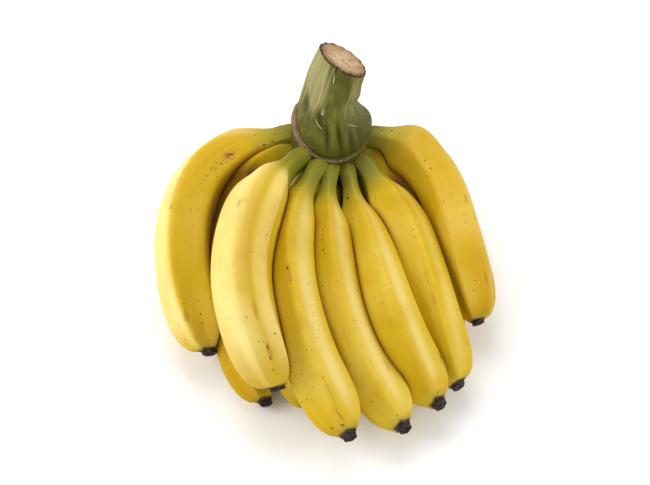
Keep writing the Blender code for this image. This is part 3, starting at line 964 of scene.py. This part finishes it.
def stalk_relief(share, around):
    """What the skin adds to the stalk's radius, in millimetres, and its ribs and dents alone.

    A lip along the ring scar with a groove on either side of it, a tuck under it, a
    swelling over it that overhangs the pedicels, a lobe on the right, ribs that are
    Gaussians of the angle and start above the crown, and Gaussian dents and folds.
    """
    above, half = ring_scar(share, around)
    shown = scar_shown(around)
    lip = 0.9 * shown * np.exp(-(above / (half + 0.3)) ** 4)
    groove = -0.6 * np.exp(-((above + half + 1.1) / 0.8) ** 2)
    groove = groove - 1.0 * np.exp(-((above - half - 1.2) / 0.9) ** 2)
    tuck = -2.0 * (1.0 - step_between(-3.5, -0.5, above + half)) * step_between(-26.0, -5.0, above)
    front = 0.5 - 0.5 * np.cos(np.radians(degrees_from(around, 105.0)))
    swell = 1.2 * front * np.exp(-((above - half - 8.0) / 5.5) ** 2)
    rightward = np.exp(-(degrees_from(around, 345.0) / 50.0) ** 2)
    leftward = np.exp(-(degrees_from(around, 188.0) / 42.0) ** 2)
    below = np.clip(0.63 - share, 0.0, 1.0)
    over = np.clip(share - 0.63, 0.0, 1.0)
    lobe = 2.2 * rightward * np.exp(-(below / 0.08) ** 2 - (over / 0.055) ** 3)
    waist = 2.2 * rightward * np.exp(-((share - 0.765) / 0.045) ** 2)
    waist = waist + 1.3 * rightward * step_between(0.80, 0.95, share)
    waist = waist + 1.6 * leftward * np.exp(-((share - 0.775) / 0.06) ** 2)
    up = step_between(0.66, 0.76, share)
    ribs = np.zeros(share.shape)
    for angles, height, size in RIBS:
        middle = spline(RIB_SHARES, angles, np.clip(share, 0.66, 1.0))
        ribs = ribs + height * up * np.exp(-(degrees_from(around, middle) / size) ** 2)
    dents = np.zeros(share.shape)
    for middle, at, depth, size, tall in DENTS:
        away = (degrees_from(around, middle) / size) ** 2 + ((share - at) / tall) ** 2
        dents = dents - depth * np.exp(-away)
    relief = lip + groove + tuck + swell + lobe - waist + ribs + dents - 0.7 * up
    return relief * step_between(0.0, 0.06, share), ribs, dents


def stalk_skin(shares, angle, lift=0.0):
    """Points of the stalk's skin over shares and angles, with its top sheared to the cut plane."""
    line, tangent, right, front, radius = stalk_frame(shares)
    share, around = np.meshgrid(shares, angle, indexing="ij")
    total = radius[:, None] + (stalk_relief(share, around)[0] + lift) * MM
    ring = np.cos(around)[..., None] * right[:, None, :] - np.sin(around)[..., None] * front[:, None, :]
    points = line[:, None, :] + total[..., None] * ring
    top_tangent, top_right, top_front, top_radius = stalk_frame(np.array([1.0]))[1:]
    top_total = top_radius[0] + stalk_relief(np.ones(len(angle)), angle)[0] * MM
    spoke = np.cos(angle)[:, None] * top_right[0] - np.sin(angle)[:, None] * top_front[0]
    normal = unit(np.array(CUT_NORMAL))
    tall = -(top_total[:, None] * spoke) @ normal / (top_tangent[0] @ normal)
    lean = step_between(0.78, 1.0, shares) * shares
    return points + (lean[:, None] * tall[None, :])[..., None] * tangent[:, None, :]


def stalk_rings():
    """The stalk's wall and its cut face as one run of rings, with places past 1 on the cut.

    The cut face runs in from the rim to the middle of the oblique plane, with a raised
    edge, a shallow bowl and a small dip in the middle.
    """
    shares = np.concatenate((np.linspace(0.0, 0.30, 25), np.linspace(0.305, 1.0, 230)))
    angle = np.linspace(0.0, TURN, STALK_SIDES, endpoint=False)
    rings = stalk_skin(shares, angle)
    share, around = np.meshgrid(shares, angle, indexing="ij")
    ribs, dents = stalk_relief(share, around)[1:]
    above, half = ring_scar(share, around)
    rim = rings[-1]
    middle = rim.mean(axis=0)
    inward = np.linspace(0.0, 1.0, 42)[1:-1]
    face = rim[None] + inward[:, None, None] * (middle - rim)[None]
    wave = 0.35 * np.sin(9.0 * inward)[:, None] * np.cos(3.0 * angle + 1.0)[None, :]
    bowl = 0.8 * step_between(0.0, 0.10, inward) - 0.8 * step_between(0.1, 0.9, inward)
    bowl = bowl - 0.5 * step_between(0.93, 0.98, inward)
    rise = (bowl[:, None] + wave * (inward * (1.0 - inward))[:, None]) * MM
    face = face + rise[..., None] * unit(np.array(CUT_NORMAL))
    blank = np.zeros((len(inward), STALK_SIDES))
    shown = scar_shown(around)
    attributes = {
        "scar": shown * np.exp(-(above / (half + 0.2)) ** 6),
        "edge": shown * np.exp(-((above - half - 1.0) / 0.8) ** 2),
        # How deep the dents are, which sets the painted shade in them
        "hollow": np.clip(-dents / 2.2, 0.0, 1.0) * step_between(0.45, 0.55, share),
        "rib": np.clip(ribs, 0.0, 1.0),
    }
    attributes = {name: np.vstack((values, blank)) for name, values in attributes.items()}
    return np.concatenate((rings, face)), np.concatenate((shares, 1.0 + inward)), attributes


# Dried threads of sap on the crown as (angle, share) points, and loose hairs with their
# way out from the skin in millimetres
THREADS = [
    ([(256, 0.735), (258, 0.730), (259, 0.722), (258, 0.714), (256, 0.712), (255, 0.718),
      (256, 0.725)], 0.22),
    ([(246, 0.690), (248, 0.680), (250, 0.668), (253, 0.657), (256, 0.648), (257, 0.642)], 0.20),
    ([(299, 0.668), (302, 0.656), (306, 0.652), (309, 0.645), (312, 0.640), (315, 0.634)], 0.16),
    ([(257, 0.975), (259, 0.955), (261, 0.935), (263, 0.915), (264, 0.90)], 0.25),
]
HAIRS = [
    ((200, 0.745), (-8.0, 0.5, 7.5), 0.10), ((203, 0.735), (-6.5, -1.0, 4.5), 0.08),
    ((190, 0.925), (-1.8, 1.0, 6.0), 0.08), ((330, 0.825), (4.5, -1.0, 1.0), 0.07),
]
THREAD_SIDES = 6
THREAD_POINTS = 24
HAIR_POINTS = 16
HAIR_DROOP = 1.5


def stalk_spot(degrees, share):
    """The point of the stalk's skin at an angle and a share of its length."""
    return stalk_skin(np.array([share]), np.array([math.radians(degrees)]))[0, 0]


def thread_rings(path, radius):
    """A six-sided tube of the given radius along a path of points, thinner towards both ends."""
    tangent = unit(np.gradient(path, axis=0))
    side = unit(np.cross(tangent, (0.31, 0.52, 0.79)))
    other = np.cross(tangent, side)
    angle = np.linspace(0.0, TURN, THREAD_SIDES, endpoint=False)
    spokes = np.cos(angle)[:, None] * side[:, None, :] + np.sin(angle)[:, None] * other[:, None, :]
    taper = np.sin(np.linspace(0.25, math.pi - 0.25, len(path)))[:, None, None] ** 0.5
    return path[:, None, :] + radius * MM * taper * spokes


def add_threads():
    """The dried threads and hairs as one small piece each, on the skin of the stalk."""
    shades = Shades("dried_sap")
    grain = shades.noise(shades.place, 2500.0, 3.0, 0.6)
    colour = shades.mix(grain, SAP_LIGHT, SAP_DARK)
    shades.give(shades.shader.inputs["Base Color"], colour)
    shades.shader.inputs["Roughness"].default_value = 0.55
    at = np.linspace(0.0, 1.0, THREAD_POINTS)
    for number, (points, radius) in enumerate(THREADS, 1):
        name = "sap_thread_%d" % number
        fine = spline(np.linspace(0.0, 1.0, len(points)), np.array(points, float), at)
        path = stalk_skin(fine[:, 1], np.radians(fine[:, 0]), lift=0.8 * radius)
        path = path[np.arange(THREAD_POINTS), np.arange(THREAD_POINTS)]
        mesh = surface_mesh(name, thread_rings(path, radius), at)
        add_piece(name, mesh, shades.material, [])
    along = np.linspace(0.0, 1.0, HAIR_POINTS)
    for number, ((degrees, share), reach, radius) in enumerate(HAIRS, 1):
        name = "hair_%d" % number
        way = np.outer(along, reach) - np.outer(along ** 2, (0.0, 0.0, HAIR_DROOP))
        path = stalk_spot(degrees, share) + MM * way
        mesh = surface_mesh(name, thread_rings(path, radius), along)
        add_piece(name, mesh, shades.material, [])


def stalk_material(settings):
    """Green crown, ribbed stalk with pale ribs, corky ring scar and a dried, fibrous cut."""
    shades = Shades("crown_skin")
    noise, spread, times, shift = shades.noise, shades.spread, shades.times, shades.shift
    mix, lay, maths = shades.mix, shades.lay, shades.maths
    place = shades.place
    uv = shades.uv()
    along = shades.parts(uv)[1]
    big = noise(place, 42.0, 4.0, 0.55, 0.5, 3.0)
    patch = noise(place, 150.0, 4.0, 0.6, 0.3, 2.0)
    fine = noise(place, 700.0, 5.0, 0.65, 0.0, 4.0)
    streaks = noise(shades.wrapped(uv, 40.0, 2.5), 1.0, 5.0, 0.6, 0.2, 5.0)
    threads = noise(shades.wrapped(uv, 150.0, 4.0), 1.0, 4.0, 0.6, 0.1, 6.0)

    # The crown's green, and the stalk's lighter flanks, streaks and ribs above it, with a paler left
    # side that is partly painted light
    crown = tuple(settings.crown)
    dark = tuple(0.58 * part for part in crown)
    colour = mix(spread(big, 0.36, 0.62), crown, dark)
    colour = lay(colour, spread(patch, 0.44, 0.72), 0.45, MOSS)
    high = spread(along, 0.68, 0.80)
    front = shades.oval(stalk_spot(280, 0.85), (0.0, 0.0, 1.0 / 0.060), (1.0 / 0.0085, 0.0, 0.0))
    flank = times(high, spread(front, 0.7, 1.6))
    colour = lay(colour, flank, 0.80, LIGHT_FLANK)
    colour = lay(colour, high, spread(streaks, 0.52, 0.40), DARK_STREAK)
    pale = times(spread(streaks, 0.50, 0.70), high)
    rib = times(shades.attribute("rib"), spread(threads, 0.25, 0.60, 0.6, 1.0))
    pale = maths("MAXIMUM", times(pale, 0.55), rib)
    colour = lay(colour, pale, 0.68, tuple(settings.rib))
    # A paler left side of the stalk: partly its own colour, partly painted light from the left
    left = shades.oval(stalk_spot(206, 0.93), (0.0, 0.0, 1.0 / 0.020), (1.0 / 0.010, 0.0, 0.0))
    colour = lay(colour, spread(left, 1.3, 0.2), 0.50, PALE_AND_LIT_LEFT_SIDE)
    lines = times(spread(threads, 0.44, 0.30), high)
    colour = lay(colour, lines, 0.45, FINE_STREAK)
    grey = shades.oval(stalk_spot(318, 0.66), (0.0, 0.0, 1.0 / 0.013), (1.0 / 0.011, 0.0, 0.0))
    grey = shift(grey, patch, 3.0)
    colour = lay(colour, spread(grey, 1.2, 0.2), 0.25, GREY_PATCH)

    # Painted shade in the dents, then specks and the ring scar
    colour = lay(colour, shades.attribute("hollow"), 0.80, PAINTED_DENT_SHADE)
    distance, lottery = shades.cells(place, 330.0)
    specks = times(spread(distance, 0.14, 0.08), spread(lottery, 0.86, 0.87))
    colour = lay(colour, specks, 0.6, STALK_SPECK)
    colour = lay(colour, shades.attribute("edge"), 0.75, SCAR_EDGE)
    scar = shades.attribute("scar")
    cork = mix(spread(fine, 0.36, 0.62), tuple(settings.scar), SCAR_PIT)
    colour = mix(scar, colour, cork)

    # The cut face: fibres, dry pith, a core, rays, and a rim that dries ragged
    fibre = noise(place, 850.0, 4.0, 0.7, 0.4, 1.0)
    rays = noise(shades.wrapped(uv, 120.0, 9.0), 1.0, 3.0, 0.6, 0.2, 7.0)
    face = mix(spread(fibre, 0.36, 0.64), tuple(settings.cut), FIBRE)
    face = lay(face, spread(patch, 0.42, 0.62), 0.65, DRY_PITH)
    face = lay(face, spread(along, 1.90, 1.95), 0.6, CORE)
    face = lay(face, spread(rays, 0.54, 0.64), spread(along, 1.9, 1.3), RAY)
    rim = shift(along, patch, 0.22)
    rim = shift(shift(rim, fibre, 0.30), rays, 0.45)
    face = lay(face, spread(rim, 1.50, 1.12), 0.55, CUT_BROWN)
    face = mix(spread(rim, 1.16, 1.04), face, CUT_RIM)
    cut = spread(along, 0.996, 1.003)
    colour = mix(cut, colour, face)

    shades.give(shades.shader.inputs["Base Color"], colour)
    dull = maths("MAXIMUM", scar, cut)
    shades.give(shades.shader.inputs["Roughness"], spread(dull, 0.0, 1.0, 0.58, 0.85))
    shades.shader.inputs["Specular IOR Level"].default_value = 0.13
    height = maths("MULTIPLY_ADD", streaks, 0.7, times(fine, 0.45))
    height = maths("MULTIPLY_ADD", threads, 0.5, height)
    coarse = times(maths("ADD", fibre, fine), dull)
    height = maths("MULTIPLY_ADD", coarse, 1.2, height)
    shades.give(shades.shader.inputs["Normal"], shades.bump(height, 0.0007, 0.8))
    return shades.material


class BANANAS_OT_outer_row(bpy.types.Operator):
    """Build the seven bananas of the front row"""

    bl_idname = "bananas.outer_row"
    bl_label = "Front Row"

    def execute(self, context):
        for name in FINGERS:
            if "outer" in name:
                add_banana(name, context.scene.banana_peel)
        return {"FINISHED"}


class BANANAS_OT_inner_row(bpy.types.Operator):
    """Build the five bananas of the row behind"""

    bl_idname = "bananas.inner_row"
    bl_label = "Back Row"

    def execute(self, context):
        for name in FINGERS:
            if "inner" in name:
                add_banana(name, context.scene.banana_peel)
        return {"FINISHED"}


class BANANAS_OT_stalk(bpy.types.Operator):
    """Build the crown and the stalk with its cut face"""

    bl_idname = "bananas.stalk"
    bl_label = "Crown and Stalk"

    def execute(self, context):
        settings = context.scene.banana_stalk
        rings, place, attributes = stalk_rings()
        mesh = surface_mesh("crown_and_stalk", rings, place)
        for name, values in attributes.items():
            add_attribute(mesh, name, values)
        add_piece("crown_and_stalk", mesh, stalk_material(settings), ["stalk"])
        add_threads()
        return {"FINISHED"}


# The soft lights in metres and watts, what they point at, and the middle of the picture
LIGHTS = {
    "left": ((-1.20, -0.15, 0.75), 12.8),
    "right": ((1.20, -0.30, 0.75), 7.5),
    "top": ((-0.15, 0.60, 1.35), 9.0),
}
LIGHT_SIZE = 0.9
LIT_POINT = (0.0, -0.08, 0.04)
SKY_STRENGTH = 0.64
PICTURE_MIDDLE = (0.004, -0.076, 0.045)
FLOOR_HALF = 4.0
FLOOR_COLOUR = (0.96, 0.96, 0.965, 1.0)


def add_light(name, place, power):
    """A square white area light that faces the lit point."""
    light = bpy.data.lights.new(name, "AREA")
    light.shape = "RECTANGLE"
    light.size = light.size_y = LIGHT_SIZE
    light.energy = power
    light.color = (1.0, 1.0, 1.0)
    lamp = bpy.data.objects.new(name, light)
    bpy.context.scene.collection.objects.link(lamp)
    right, ahead, up = np.asarray(LIT_POINT) - np.asarray(place)
    lamp.location = place
    tilt = math.atan2(math.hypot(right, ahead), -up)
    lamp.rotation_euler = (tilt, 0.0, math.atan2(right, -ahead) + math.pi)


class BANANAS_OT_stage(bpy.types.Operator):
    """Build the floor, the light and the camera"""

    bl_idname = "bananas.stage"
    bl_label = "Stage"

    def execute(self, context):
        settings = context.scene.banana_stage
        scene = context.scene
        mesh = bpy.data.meshes.new("floor")
        turns = ((-1, -1), (1, -1), (1, 1), (-1, 1))
        mesh.from_pydata([(x * FLOOR_HALF, y * FLOOR_HALF, 0.0) for x, y in turns], [], [(0, 1, 2, 3)])
        floor = bpy.data.objects.new("floor", mesh)
        scene.collection.objects.link(floor)
        shades = Shades("pale_floor")
        shades.shader.inputs["Base Color"].default_value = FLOOR_COLOUR
        shades.shader.inputs["Roughness"].default_value = 0.9
        shades.shader.inputs["Specular IOR Level"].default_value = 0.1
        mesh.materials.append(shades.material)
        world = bpy.data.worlds.new("studio")
        world.use_nodes = True
        sky = world.node_tree.nodes["Background"]
        sky.inputs["Color"].default_value = (1.0, 1.0, 1.0, 1.0)
        sky.inputs["Strength"].default_value = SKY_STRENGTH
        scene.world = world
        for name, (place, power) in LIGHTS.items():
            add_light(name, place, power)
        camera = bpy.data.cameras.new("camera")
        camera.lens = settings.lens
        camera.sensor_width = 36.0
        eye = bpy.data.objects.new("camera", camera)
        scene.collection.objects.link(eye)
        tilt = settings.elevation
        away = np.array((0.0, -math.cos(tilt), math.sin(tilt)))
        eye.location = PICTURE_MIDDLE + settings.distance * away
        eye.rotation_euler = (math.pi / 2.0 - tilt, 0.0, 0.0)
        scene.camera = eye
        scene.view_settings.view_transform = "Standard"
        return {"FINISHED"}


OPERATORS = (BANANAS_OT_stage, BANANAS_OT_stalk, BANANAS_OT_outer_row, BANANAS_OT_inner_row)


class BANANAS_PT_panel(bpy.types.Panel):
    """Lists the pieces of the hand and their settings"""

    bl_idname = "BANANAS_PT_panel"
    bl_label = "Banana Hand"
    bl_space_type = "VIEW_3D"
    bl_region_type = "UI"
    bl_category = "Bananas"

    def draw(self, context):
        for operator in OPERATORS:
            self.layout.operator(operator.bl_idname)
        for group in (context.scene.banana_peel, context.scene.banana_stalk, context.scene.banana_stage):
            for name in group.__annotations__:
                self.layout.prop(group, name)


CLASSES = (PeelSettings, StalkSettings, StageSettings, *OPERATORS, BANANAS_PT_panel)


def register():
    for item in CLASSES:
        bpy.utils.register_class(item)
    bpy.types.Scene.banana_peel = PointerProperty(type=PeelSettings)
    bpy.types.Scene.banana_stalk = PointerProperty(type=StalkSettings)
    bpy.types.Scene.banana_stage = PointerProperty(type=StageSettings)


def unregister():
    del bpy.types.Scene.banana_peel
    del bpy.types.Scene.banana_stalk
    del bpy.types.Scene.banana_stage
    for item in reversed(CLASSES):
        bpy.utils.unregister_class(item)


def main():
    register()
    bpy.ops.bananas.stage()
    bpy.ops.bananas.stalk()
    bpy.ops.bananas.outer_row()
    bpy.ops.bananas.inner_row()


if __name__ == "__main__":
    main()
